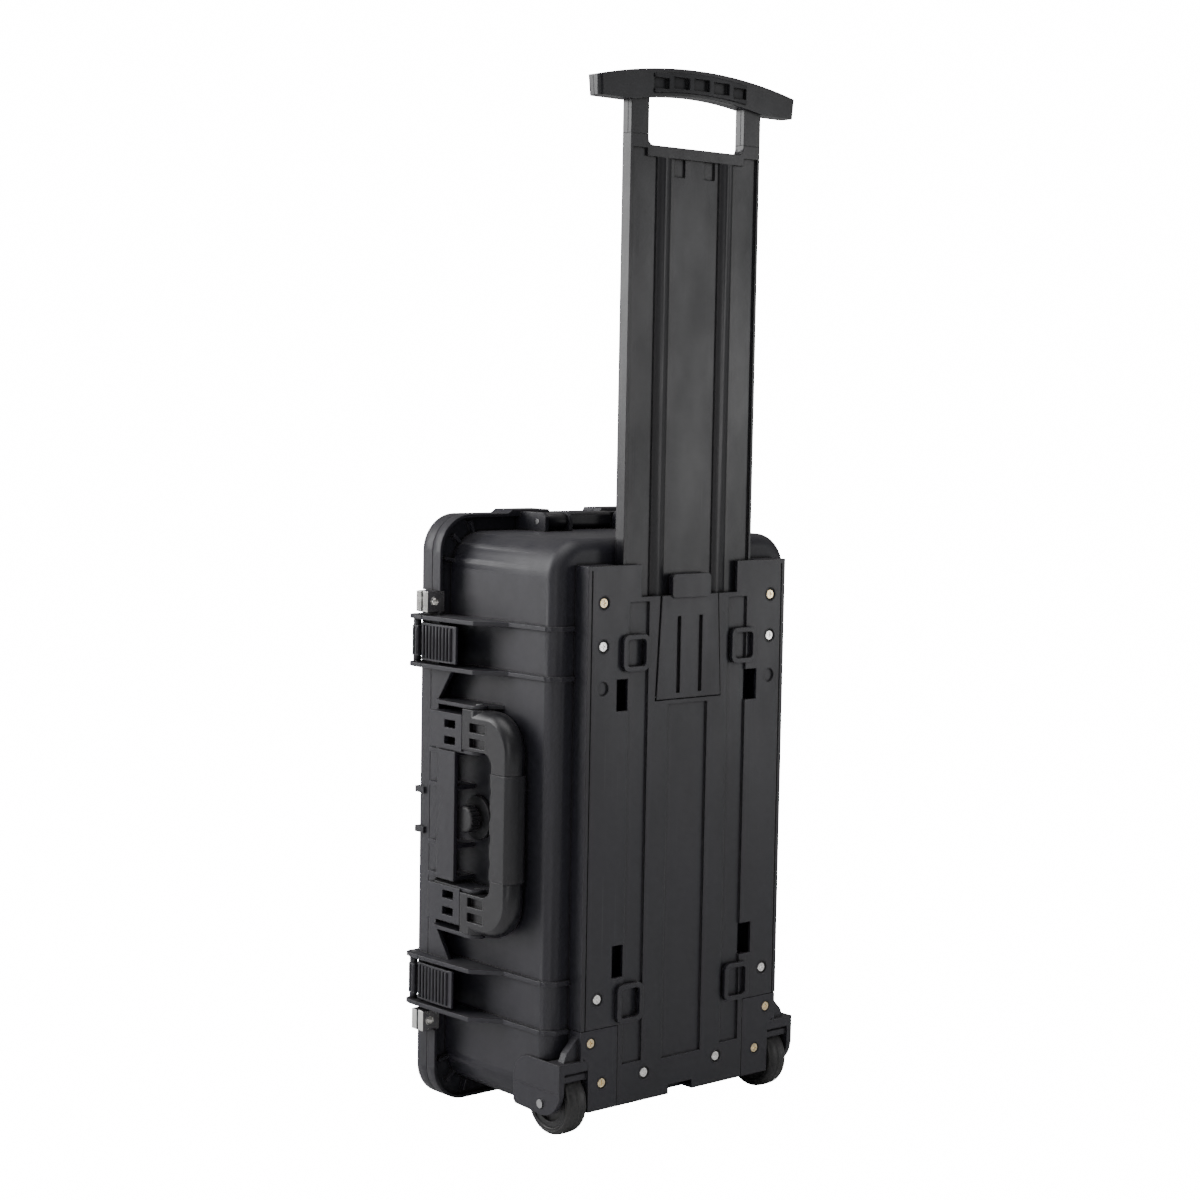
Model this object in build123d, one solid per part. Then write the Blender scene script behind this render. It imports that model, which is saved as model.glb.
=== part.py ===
"""Rolling tool box: a hard moulded case on two wheels with a telescoping trolley handle.

Millimetres, +Z up, the case standing upright on its lower flange and wheels.
The origin is the centre of the bottom of the whole box. -Y is the trolley side,
+Y the lid, -X the latches and the carry handle, +X the lid hinge.
"""
import os
from math import cos, radians, sin

from build123d import *

# ---- driving dimensions ----
CASE_HEIGHT = 559.0
FLANGE_HALF = 163.5
FLANGE_RADIUS = 35.0
SIDE_REACH = 175.5
WALL = 4.0
SKIN = 3.0
COVER_FACE = -110.5
TUB_BACK = -91.5
PART_PLANE = 67.5
PART_GAP = 0.3
LID_FACE = 114.5

TUB_HALF, TUB_LOW, TUB_HIGH, TUB_RADIUS = 146.0, 16.0, 543.0, 34.0
LID_HALF, LID_LOW, LID_HIGH, LID_RADIUS = 144.0, 18.0, 541.0, 32.0
BASE_RIM = PART_PLANE - PART_GAP
LID_RIM = PART_PLANE + PART_GAP
BASE_SKIRT_END = 55.5
LID_SKIRT_END = 82.5
MID_HEIGHT = CASE_HEIGHT / 2

WHEEL_RADIUS = 31.0
WHEEL_X = 127.5
WHEEL_Y = -83.5
TYRE_HALF = 11.0
HUB_RADIUS = 23.5
AXLE_RADIUS = 4.0
WELL_RADIUS = 37.5
HOOD_IN, HOOD_SKIN, HOOD_OUT = 141.8, 146.3, 147.9

COVER_HALF, COVER_LOW, COVER_HIGH = 123.5, 22.4, 520.0
CHANNEL_DEPTH, TRAY_BACK = 2.2, 5.0
CHANNEL_IN, CHANNEL_OUT, CHANNEL_LOW, CHANNEL_HIGH = 50.0, 73.5, 60.6, 486.0
RECESS_HALF, RECESS_LOW, RECESS_HIGH = 24.5, 58.0, 390.0
PAD_LOW, PAD_HIGH = 394.0, 490.5
PAD_FOOT, PAD_HEAD = 40.0, 35.0
WINDOWS = ((387.8, 416.7), (142.6, 172.6))
RELEASE_PIN_Y, RELEASE_PIN_Z = COVER_FACE + 1.6, 397.5

SLED_HALF = 80.0
SLED_LOW, SLED_HIGH = 440.0, 896.0
SLED_FRONT, SLED_FLOOR, SLED_EDGE = COVER_FACE + 3.4, COVER_FACE + 5.6, COVER_FACE + 15.0
RIDGE_RADIUS = 40.0
GRIP_HALF, GRIP_END_LOW, GRIP_END_HIGH, GRIP_TOP = 122.0, 934.0, 952.0, 966.0
GRIP_UNDER = 942.0
ARM_IN, ARM_OUT, ARM_LOW = 59.0, 80.0, 905.0

HINGE_X, HINGE_RADIUS, HINGE_PIN = 168.0, 7.5, 3.0
HINGE_STATIONS = {"upper": MID_HEIGHT + 130.0, "lower": MID_HEIGHT - 130.0}
LATCH_STATIONS = {"upper": MID_HEIGHT + 161.0, "lower": MID_HEIGHT - 161.0}
RIB_OFFSET = 22.5
RIB_HALF = 2.0
HOOK_PIVOT = (-168.2, 83.5)
LEVER_PIVOT = (-168.2, 70.5)
PADLOCK_STATIONS = (MID_HEIGHT + 198.5, MID_HEIGHT - 198.5)
PADLOCK_X, PADLOCK_HOLE = -167.0, 3.5

SIDE_PIVOT = (-161.5, -4.0)
SIDE_ARM_IN, SIDE_ARM_OUT, SIDE_HALF_THICK = 66.5, 104.0, 10.5
SIDE_TAIL_RADIUS = 15.9
SIDE_GRIP_BACK, SIDE_GRIP_FRONT = -62.5, -36.0
SIDE_GRIP_HALF = 49.0
SIDE_CORE_X, SIDE_CORE_Y = (-168.0, -156.0), (-57.5, -42.5)
TOP_PIVOT = (29.5, 552.3)
TOP_ARM_IN, TOP_ARM_OUT, TOP_HALF_THICK = 38.5, 63.5, 7.2
TOP_GRIP_START, TOP_GRIP_END = 40.5, 54.0
VALVE_Y = 12.5

BRASS_COVER = ((104.5, 486.6),)
BRIGHT_COVER = ((104.5, 447.4), (104.5, 125.6), (45.7, 48.2))
BRASS_BRACKET = ((111.2, 86.2), (97.4, 47.4))
HEAD_RADIUS, SHANK_RADIUS, HEAD_THICK, BOSS_RADIUS = 4.5, 2.5, 2.5, 7.0
SIDES = (-1, 1)
SIDE_NAMES = {-1: "left", 1: "right"}


# ---- shape helpers ----
def box(x0, x1, y0, y1, z0, z1):
    """Box between two opposite corners, given in any order."""
    size = Box(abs(x1 - x0), abs(y1 - y0), abs(z1 - z0))
    return Pos((x0 + x1) / 2, (y0 + y1) / 2, (z0 + z1) / 2) * size


def rod_x(x0, x1, y, z, r):
    """Round bar along X."""
    return Pos((x0 + x1) / 2, y, z) * Rot(0, 90, 0) * Cylinder(r, abs(x1 - x0))


def rod_y(y0, y1, x, z, r):
    """Round bar along Y."""
    return Pos(x, (y0 + y1) / 2, z) * Rot(90, 0, 0) * Cylinder(r, abs(y1 - y0))


def rod_z(z0, z1, x, y, r):
    """Round bar along Z."""
    return Pos(x, y, (z0 + z1) / 2) * Cylinder(r, abs(z1 - z0))


def slab(half, low, high, radius, y0, y1):
    """Plate with rounded corners in the XZ plane, from y0 to y1."""
    face = Pos(0, (low + high) / 2) * RectangleRounded(2 * half, high - low, radius)
    return extrude(Plane.XZ.offset(-y0) * face, amount=-(y1 - y0))


def prism_y(points, y0, y1):
    """Prism along Y over an outline of (x, z) points."""
    return extrude(Plane.XZ.offset(-y0) * Polygon(*points, align=None), amount=y1 - y0, dir=(0, 1, 0))


def prism_z(points, z0, z1):
    """Prism along Z over an outline of (x, y) points."""
    return extrude(Plane.XY.offset(z0) * Polygon(*points, align=None), amount=z1 - z0, dir=(0, 0, 1))


def prism_x(points, x0, x1):
    """Prism along X over an outline of (y, z) points."""
    return extrude(Plane.YZ.offset(x0) * Polygon(*points, align=None), amount=x1 - x0, dir=(1, 0, 0))


def soften(solid, radius, axis, place):
    """Round the edges that lie in the plane where the coordinate on axis equals place."""
    edges = solid.edges().filter_by_position(axis, place - 0.05, place + 0.05)
    return fillet(edges, radius)


PARTS = {}


def keep(name, solid):
    """Name one node of the assembly."""
    PARTS[name] = solid


# ---- base shell ----
def screw_bosses():
    """Bosses on the inside of the tub's back wall that take the trolley screws."""
    places = BRASS_COVER + BRIGHT_COVER + BRASS_BRACKET
    return [rod_y(TUB_BACK + WALL / 2, -78, side * x, z, BOSS_RADIUS) for side in SIDES for x, z in places]


def flange_gussets(y0, y1):
    """Short webs under the flange, three at each corner."""
    webs = []
    for side in SIDES:
        for centre_z, up in ((50.0, -1), (CASE_HEIGHT - 50.0, 1)):
            for angle in (12, 42, 72):
                reach = Pos(28, 0, 0) * Box(36, 2.5, y1 - y0)
                turned = Rot(0, 0, angle) * reach
                web = Plane(origin=(side * 112, (y0 + y1) / 2, centre_z),
                            x_dir=(side, 0, 0), z_dir=(0, -side * up, 0)) * turned
                webs.append(web)
    return webs


def guard_outline(side):
    """Raised stretch of the flange beside one arm of the top handle, as (x, z) points."""
    return [(side * 30, 556), (side * 34, 562.5), (side * 78, 562.5), (side * 88, 556)]


def latch_rib(z, lid):
    """Guard plate beside a latch: it stands off the side wall and crosses the flange."""
    if lid:
        outline = [(-141, LID_RIM), (-SIDE_REACH, LID_RIM), (-SIDE_REACH, 80), (-173.5, 88), (-168, 90.5),
                   (-160, 90), (-150, 95), (-141, 96)]
    else:
        outline = [(-143, BASE_RIM), (-SIDE_REACH, BASE_RIM), (-172, -6.5), (-150.5, -31.5),
                   (-149, -82), (-143, -84)]
    return prism_z(outline, z - RIB_HALF, z + RIB_HALF)


def corner_wrap(z):
    """Low rib that carries a guard plate's line round the tub's back corner to the trolley cover."""
    outline = [(-149, -80), (-143, -80), (-134, -89), (-124.2, -89), (-124.2, -94.5), (-139, -93.5), (-147, -87)]
    return prism_z(outline, z - RIB_HALF, z + RIB_HALF)


def padlock_lug(z, y0, y1):
    """Block on the flange round a padlock hole."""
    return box(-174.3, -157, y0, y1, z - 10, z + 10)


def handle_lug(z0, z1):
    """Side handle's pivot plate."""
    px, py = SIDE_PIVOT
    outline = [(-143, 62), (-160, 62), (-170, 50), (px - 9, py), (px + 5, py - 9), (-143, -24)]
    return prism_z(outline, z0, z1) + rod_z(z0, z1, px, py, 9)


def handle_bracket(sign):
    """Hollow pad that joins a pair of side handle lugs to the flange, with two square windows."""
    near = MID_HEIGHT + sign * 64
    far = MID_HEIGHT + sign * 98
    px, py = SIDE_PIVOT
    pad = box(-172, -167, py + 8, 58, near, far)
    pad += box(-168, -143, 9, 58, far - sign * 3, far)
    pad += box(-168, -143, 9, 58, near, near + sign * 2.5)
    for offset in (68.5, 84.0):
        z = MID_HEIGHT + sign * offset
        pad -= box(-173, -160, 18.5, 35, z, z + sign * 7.5)
    return pad - rod_z(near, far, px, py, SIDE_TAIL_RADIUS + 0.4)


def top_lugs(side):
    """Pair of pivot plates for one arm of the top handle: a long outer one and a round inner one."""
    py, pz = TOP_PIVOT
    outline = [(62, 540), (62, 559), (50, 561), (22, 561), (17.5, 557), (17.5, 540)]
    outer = prism_x(outline, side * 67 - RIB_HALF, side * 67 + RIB_HALF)
    inner = rod_x(side * 35 - RIB_HALF, side * 35 + RIB_HALF, py, pz, 9.3)
    inner += box(side * 35 - RIB_HALF, side * 35 + RIB_HALF, py - 9.3, py + 9.3, 540, pz)
    return outer + inner


def base_shell():
    """Deep half of the case: tub, flange, guards, lugs, ledge and wheel wells."""
    tub = soften(slab(TUB_HALF, TUB_LOW, TUB_HIGH, TUB_RADIUS, TUB_BACK, 62), 13, Axis.Y, TUB_BACK)
    inside = slab(TUB_HALF - WALL, TUB_LOW + WALL, TUB_HIGH - WALL, TUB_RADIUS - WALL, TUB_BACK + WALL, 70)
    inside = soften(inside, 9, Axis.Y, TUB_BACK + WALL)
    skirt = slab(FLANGE_HALF, 0, CASE_HEIGHT, FLANGE_RADIUS, BASE_SKIRT_END, BASE_RIM)
    pocket = slab(FLANGE_HALF - SKIN, SKIN, CASE_HEIGHT - SKIN, FLANGE_RADIUS - SKIN, 50, BASE_RIM - WALL)
    body = (skirt - pocket) + tub
    for web in flange_gussets(BASE_SKIRT_END + 1.5, BASE_RIM - 1):
        body += web & slab(FLANGE_HALF - 1, 1, CASE_HEIGHT - 1, FLANGE_RADIUS - 1, 50, BASE_RIM)
    for side in SIDES:
        body += prism_y(guard_outline(side), BASE_SKIRT_END, BASE_RIM)
        body += top_lugs(side)
    for z in LATCH_STATIONS.values():
        for offset in (-RIB_OFFSET, RIB_OFFSET):
            body += latch_rib(z + offset, False)
            body += corner_wrap(z + offset)
        inward = 1 if z < MID_HEIGHT else -1
        start = z + inward * RIB_OFFSET
        brace = [(BASE_RIM - 5, start), (34, start), (BASE_RIM - 5, start + inward * 40)]
        body += prism_x(brace, -FLANGE_HALF, -FLANGE_HALF + 4)
    for z in PADLOCK_STATIONS:
        body -= box(-FLANGE_HALF - 1, -155, 50, BASE_SKIRT_END + 4, z - 9.8, z + 9.8)
        body += padlock_lug(z, BASE_SKIRT_END + 4, BASE_RIM)
    for sign in SIDES:
        body += handle_bracket(sign)
        body += handle_lug(MID_HEIGHT + sign * 62.5, MID_HEIGHT + sign * 66)
        body += handle_lug(MID_HEIGHT + sign * 104.5, MID_HEIGHT + sign * 108)
    body += box(-SIDE_REACH + 3.5, -168, 18.5, 45, 221, 342)
    for z in (223.0, 253.0, 308.0, 340.0):
        body += box(-170, -143, 20, 60, z - RIB_HALF, z + RIB_HALF)
    for z in HINGE_STATIONS.values():
        for sign in SIDES:
            body += rod_z(z + sign * 14.5, z + sign * 30, HINGE_X, PART_PLANE, HINGE_RADIUS)
            body += box(155, HINGE_X, PART_PLANE - 7.3, BASE_RIM, z + sign * 14.5, z + sign * 30)
    body -= inside
    for side in SIDES:
        block = rod_x(side * 106, side * 150, WHEEL_Y, WHEEL_RADIUS, WELL_RADIUS + 3.5)
        block += box(side * 106, side * 150, WHEEL_Y - 20, WHEEL_Y + WELL_RADIUS + 3.5, TUB_LOW, WHEEL_RADIUS)
        body += block & tub
    for boss in screw_bosses():
        body += boss
    for side in SIDES:
        body -= rod_x(side * 109.5, side * 160, WHEEL_Y, WHEEL_RADIUS, WELL_RADIUS)
        body -= box(side * 109.5, side * 160, -125, WHEEL_Y + WELL_RADIUS, -1, WHEEL_RADIUS)
        for x, z in BRASS_COVER + BRIGHT_COVER + BRASS_BRACKET:
            body -= rod_y(TUB_BACK - 1, -80, side * x, z, SHANK_RADIUS + 1.5)
    for z in HINGE_STATIONS.values():
        body -= rod_z(z - 14.3, z + 14.3, HINGE_X, PART_PLANE, HINGE_RADIUS + 0.5)
        body -= rod_z(z - 31, z + 31, HINGE_X, PART_PLANE, HINGE_PIN)
    for z in PADLOCK_STATIONS:
        body -= rod_y(50, 70, PADLOCK_X, z, PADLOCK_HOLE + 1)
    body -= rod_z(MID_HEIGHT - 110, MID_HEIGHT + 110, *SIDE_PIVOT, 3)
    body -= rod_x(-70, 70, *TOP_PIVOT, 2.5)
    body -= rod_x(-150, -138, VALVE_Y, MID_HEIGHT, 8)
    return body


# ---- lid ----
def lid_shell():
    """Shallow half of the case with its flange, gasket groove, hinge knuckles and latch ears."""
    shell = soften(slab(LID_HALF, LID_LOW, LID_HIGH, LID_RADIUS, LID_RIM, LID_FACE - 3), 11, Axis.Y, LID_FACE - 3)
    inside = slab(LID_HALF - WALL, LID_LOW + WALL, LID_HIGH - WALL, LID_RADIUS - WALL, 60, LID_FACE - 3 - WALL)
    inside = soften(inside, 7, Axis.Y, LID_FACE - 3 - WALL)
    skirt = slab(FLANGE_HALF, 0, CASE_HEIGHT, FLANGE_RADIUS, LID_RIM, LID_SKIRT_END)
    pocket = slab(FLANGE_HALF - SKIN, SKIN, CASE_HEIGHT - SKIN, FLANGE_RADIUS - SKIN, LID_RIM + WALL, 90)
    body = (skirt - pocket) + shell
    for web in flange_gussets(LID_RIM + 1, LID_SKIRT_END - 1.5):
        body += web & slab(FLANGE_HALF - 1, 1, CASE_HEIGHT - 1, FLANGE_RADIUS - 1, LID_RIM, 90)
    for x in (-108.0, -68.0, 68.0, 108.0):
        body += slab(7, 70, CASE_HEIGHT - 70, 6.5, LID_FACE - 4, LID_FACE).moved(Location((x, 0, 0)))
    for side in SIDES:
        body += prism_y(guard_outline(side), LID_RIM, LID_SKIRT_END)
    for z in LATCH_STATIONS.values():
        for offset in (-RIB_OFFSET, RIB_OFFSET):
            body += latch_rib(z + offset, True)
    for z in PADLOCK_STATIONS:
        body -= box(-FLANGE_HALF - 1, -155, LID_RIM + 7, 90, z - 9.8, z + 9.8)
        body += padlock_lug(z, LID_RIM, LID_RIM + 7)
    for sign in SIDES:
        z = MID_HEIGHT + sign * 19
        body += box(-166, -159, 74, LID_SKIRT_END + 5, z - 3, z + 3)
    for z in HINGE_STATIONS.values():
        body += rod_z(z - 14, z + 14, HINGE_X, PART_PLANE, HINGE_RADIUS)
        body += box(155, HINGE_X, LID_RIM, PART_PLANE + 7.3, z - 14, z + 14)
    body -= inside
    outer_groove = slab(155, 6, CASE_HEIGHT - 6, 30, 60, LID_RIM + 3)
    body -= outer_groove - slab(149.5, 11.5, CASE_HEIGHT - 11.5, 24.5, 60, LID_RIM + 3)
    for z in HINGE_STATIONS.values():
        for sign in SIDES:
            body -= rod_z(z + sign * 14.2, z + sign * 30.5, HINGE_X, PART_PLANE, HINGE_RADIUS + 0.5)
        body -= rod_z(z - 31, z + 31, HINGE_X, PART_PLANE, HINGE_PIN + 0.05)
    for z in LATCH_STATIONS.values():
        body -= rod_z(z - 30, z + 30, *HOOK_PIVOT, 2.5)
    for z in PADLOCK_STATIONS:
        body -= rod_y(LID_RIM - 1, LID_RIM + 8, PADLOCK_X, z, PADLOCK_HOLE + 1)
    return body


def lid_gasket():
    """Square-section sealing ring in the lid's groove."""
    ring = slab(154.8, 6.2, CASE_HEIGHT - 6.2, 29.8, PART_PLANE, LID_RIM + 3)
    return ring - slab(149.7, 11.3, CASE_HEIGHT - 11.3, 24.7, 60, 80)


def hinge_pins():
    """Two steel pins on the lid's hinge line."""
    return [rod_z(z - 30, z + 30, HINGE_X, PART_PLANE, HINGE_PIN) for z in HINGE_STATIONS.values()]


# ---- latches ----
def latch_hook(z):
    """Link pinned to the lid whose nose catches under the base flange."""
    px, py = HOOK_PIVOT
    lx, ly = LEVER_PIVOT
    body = rod_z(z - 20, z + 20, px, py, 3.8)
    body += box(px - 1.8, px + 2.4, ly, py, z - 8, z + 8)
    body += box(px - 5.2, px + 2.4, 75.5, py + 1, z - 14.2, z + 14.2)
    for y in (77.5, 82.0):
        body += rod_z(z - 13, z + 13, px - 5.2, y, 1.2)
    body += rod_z(z - 8, z + 8, lx, ly, 3.4)
    body += box(lx - 1.8, lx + 2.4, 50.5, ly, z - 8, z + 8)
    body += box(lx - 1.8, lx + 2.4, 50.5, 64, z - 14, z + 14)
    body += box(lx, -157.3, 50.5, 54.9, z - 14, z + 14)
    body -= rod_z(z - 21, z + 21, px, py, 2.55)
    return body - rod_z(z - 21, z + 21, lx, ly, 2.0)


def latch_lever(z):
    """Pull lever: a bowed plate with finger ribs and two cheeks on the hook's pin."""
    lx, ly = LEVER_PIVOT
    body = prism_z([(-171.8, 68.5), (-173, 68.5), (-173.7, 50), (-173.3, 26), (-172.6, 18.5), (-170, 18.5),
                    (-170, 22.5), (-171.2, 27)], z - 17.4, z + 17.4)
    for step in range(9):
        body += rod_z(z - 15.5, z + 15.5, -174.0, 25.5 + 5.1 * step, 1.4)
    for sign in SIDES:
        cheek = rod_z(z + sign * 14.6, z + sign * 17.4, lx, ly, 3.6)
        cheek += box(lx - 4.5, lx, 40, ly, z + sign * 14.6, z + sign * 17.4)
        cheek += box(lx - 4.5, lx, ly - 3, ly + 1, z + sign * 14.6, z + sign * 17.4)
        body += cheek
    return body - rod_z(z - 20, z + 20, lx, ly, 2.05)


def latches():
    """Both latch stations."""
    for name, z in LATCH_STATIONS.items():
        keep(f"latch_hook_{name}", latch_hook(z))
        keep(f"latch_lever_{name}", latch_lever(z))
        keep(f"latch_hook_pin_{name}", rod_z(z - 24.5, z + 24.5, *HOOK_PIVOT, 2.5))
        keep(f"latch_lever_pin_{name}", rod_z(z - 17.4, z + 17.4, *LEVER_PIVOT, 2.0))


# ---- padlock points ----
def padlock_plates(face, inward):
    """Bent steel guards over the padlock lugs of one half; inward points from the face to the parting plane."""
    plates = []
    for z in PADLOCK_STATIONS:
        flat = box(-SIDE_REACH, -156, face, face - inward * 1.2, z - 9.6, z + 9.6)
        bend = box(-SIDE_REACH, -174.3, face - inward * 1.2, face + inward * 6.5, z - 9.6, z + 9.6)
        plates.append((flat + bend) - rod_y(face - 5, face + 5, PADLOCK_X, z, PADLOCK_HOLE + 1))
    return plates


def padlock_eyelets(y0, y1):
    """Tubular rivets that line the padlock holes and hold the guards on."""
    eyelets = []
    for z in PADLOCK_STATIONS:
        tube = rod_y(y0, y1, PADLOCK_X, z, PADLOCK_HOLE + 1)
        eyelets.append(tube - rod_y(y0 - 1, y1 + 1, PADLOCK_X, z, PADLOCK_HOLE))
    return eyelets


# ---- pressure valve ----
def valve():
    """Pressure valve: flanged body through the side wall, knob outside, nut inside, O-ring between."""
    wall = -TUB_HALF
    disc = rod_x(wall - 5, wall - 0.4, VALVE_Y, MID_HEIGHT, 20.5)
    disc &= box(wall - 6, wall, -20, VALVE_Y + 15, 240, 320)
    body = disc + rod_x(wall - 9, wall + 14, VALVE_Y, MID_HEIGHT, 7.8)
    body -= rod_x(wall - 10, wall - 4, VALVE_Y, MID_HEIGHT, 5.05)
    body -= rod_x(wall - 1.6, wall, VALVE_Y, MID_HEIGHT, 13) - rod_x(wall - 2, wall + 1, VALVE_Y, MID_HEIGHT, 10)
    keep("valve_body", body)
    keep("valve_oring", rod_x(wall - 1.6, wall, VALVE_Y, MID_HEIGHT, 12.8)
         - rod_x(wall - 3, wall + 1, VALVE_Y, MID_HEIGHT, 10.2))
    knob = rod_x(wall - 20, wall - 9.4, VALVE_Y, MID_HEIGHT, 12.5)
    knob = fillet(knob.edges().sort_by(Axis.X)[0], 2.5)
    for step in range(18):
        turn = radians(20 * step)
        knob -= rod_x(wall - 21, wall - 9, VALVE_Y + 13 * cos(turn), MID_HEIGHT + 13 * sin(turn), 1.2)
    knob += rod_x(wall - 9.4, wall - 4.2, VALVE_Y, MID_HEIGHT, 5.0)
    keep("valve_knob", knob)
    nut = extrude(Plane.YZ.offset(wall + WALL) * Pos(VALVE_Y, MID_HEIGHT) * RegularPolygon(13, 6), amount=6)
    keep("valve_nut", nut - rod_x(wall, wall + 15, VALVE_Y, MID_HEIGHT, 7.8))


# ---- carry handles ----
def side_handle():
    """Swinging carry handle on the latch side: rigid frame, soft grip, two pivot pins."""
    px, py = SIDE_PIVOT
    outer = px - SIDE_HALF_THICK
    inner = px + SIDE_HALF_THICK
    high = MID_HEIGHT + SIDE_ARM_OUT
    low = MID_HEIGHT - SIDE_ARM_OUT
    reach = py + 40 - SIDE_GRIP_BACK
    loop = Pos(SIDE_GRIP_BACK + reach / 2, MID_HEIGHT) * RectangleRounded(reach, high - low, 36)
    frame = extrude(Plane.YZ.offset(outer - 1.4) * loop, amount=inner - outer + 1.4, dir=(1, 0, 0))
    frame = soften(frame, 13, Axis.X, outer - 1.4)
    frame = soften(frame, 7, Axis.X, inner)
    frame -= box(outer - 2, outer, -100, 60, low - 1, high + 1)
    frame -= box(outer - 1, inner + 1, py, py + 60, low - 1, high + 1)
    window = Pos(0, MID_HEIGHT) * RectangleRounded(-2 * SIDE_GRIP_FRONT, 2 * SIDE_ARM_IN, 12)
    frame -= extrude(Plane.YZ.offset(outer - 1) * window, amount=inner - outer + 2, dir=(1, 0, 0))
    frame -= box(outer - 1, inner + 1, -20, 60, MID_HEIGHT - SIDE_ARM_IN, MID_HEIGHT + SIDE_ARM_IN)
    for sign in SIDES:
        z0 = MID_HEIGHT + sign * SIDE_ARM_IN
        z1 = MID_HEIGHT + sign * SIDE_ARM_OUT
        frame += rod_z(z0, z1, px, py, SIDE_HALF_THICK)
        frame += box(outer, outer + 5, py - 1, py + 12, z0, z1) & rod_z(z0, z1, px, py, SIDE_TAIL_RADIUS)
        for offset in (69.5, 83.5):
            z = MID_HEIGHT + sign * offset
            frame -= box(outer - 1, outer + 5, -26, -3, z, z + sign * 8.5)
    grip_low, grip_high = MID_HEIGHT - SIDE_GRIP_HALF, MID_HEIGHT + SIDE_GRIP_HALF
    frame -= box(outer - 1, inner + 1, SIDE_GRIP_BACK - 1, SIDE_GRIP_FRONT + 1, grip_low, grip_high)
    frame += box(*SIDE_CORE_X, *SIDE_CORE_Y, grip_low - 1, grip_high + 1)
    frame -= rod_z(low - 1, high + 1, px, py, 3.05)
    keep("side_handle_frame", frame)
    sleeve = box(outer - 2, inner + 0.6, SIDE_GRIP_BACK - 0.6, SIDE_GRIP_FRONT + 1, grip_low, grip_high)
    corners = sleeve.edges().filter_by(Axis.Z)
    sleeve = fillet(corners.group_by(Axis.X)[0].sort_by(Axis.Y)[0], 13)
    sleeve = fillet(sleeve.edges().filter_by(Axis.Z).group_by(Axis.X)[-1], 6)
    sleeve -= box(outer - 3, outer - 0.6, -100, 60, low, high)
    for step in range(4):
        z = MID_HEIGHT + 22 * (step - 1.5)
        sleeve -= rod_x(outer - 2, inner + 2, SIDE_GRIP_FRONT + 11, z, 11.5)
    core = box(*SIDE_CORE_X, *SIDE_CORE_Y, grip_low - 5, grip_high + 5)
    keep("side_handle_grip", sleeve - core)
    keep("side_handle_pins", [rod_z(MID_HEIGHT + sign * 62.5, MID_HEIGHT + sign * 108.6, px, py, 3) for sign in SIDES])


def top_handle():
    """Low swinging pull handle on the end opposite the wheels, lying against the flange."""
    py, pz = TOP_PIVOT
    low = pz - TOP_HALF_THICK
    high = pz + TOP_HALF_THICK
    frame = box(-TOP_ARM_OUT, TOP_ARM_OUT, TOP_GRIP_START, TOP_GRIP_END, low, high)
    for side in SIDES:
        frame += box(side * TOP_ARM_IN, side * TOP_ARM_OUT, py, TOP_GRIP_START + 1, low, high)
        frame += rod_x(side * TOP_ARM_IN, side * TOP_ARM_OUT, py, pz, TOP_HALF_THICK)
    frame -= box(-32, 32, py, TOP_GRIP_END + 1, low - 1, high + 1)
    core = (TOP_GRIP_START + 3, TOP_GRIP_END - 3, low + 3, high - 3)
    frame += box(-33, 33, *core)
    frame -= rod_x(-70, 70, py, pz, 2.55)
    keep("top_handle_frame", frame)
    sleeve = box(-32, 32, TOP_GRIP_START - 0.4, TOP_GRIP_END + 0.4, low, high + 0.4)
    sleeve = fillet(sleeve.edges().filter_by(Axis.X), 4)
    keep("top_handle_grip", sleeve - box(-33, 33, *core))
    keep("top_handle_pins", [rod_x(side * 33, side * 69.4, py, pz, 2.5) for side in SIDES])


# ---- trolley ----
def cover_boss(x, z):
    """Screw boss behind the cover."""
    return rod_y(COVER_FACE + 1, TUB_BACK, x, z, BOSS_RADIUS)


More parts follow.
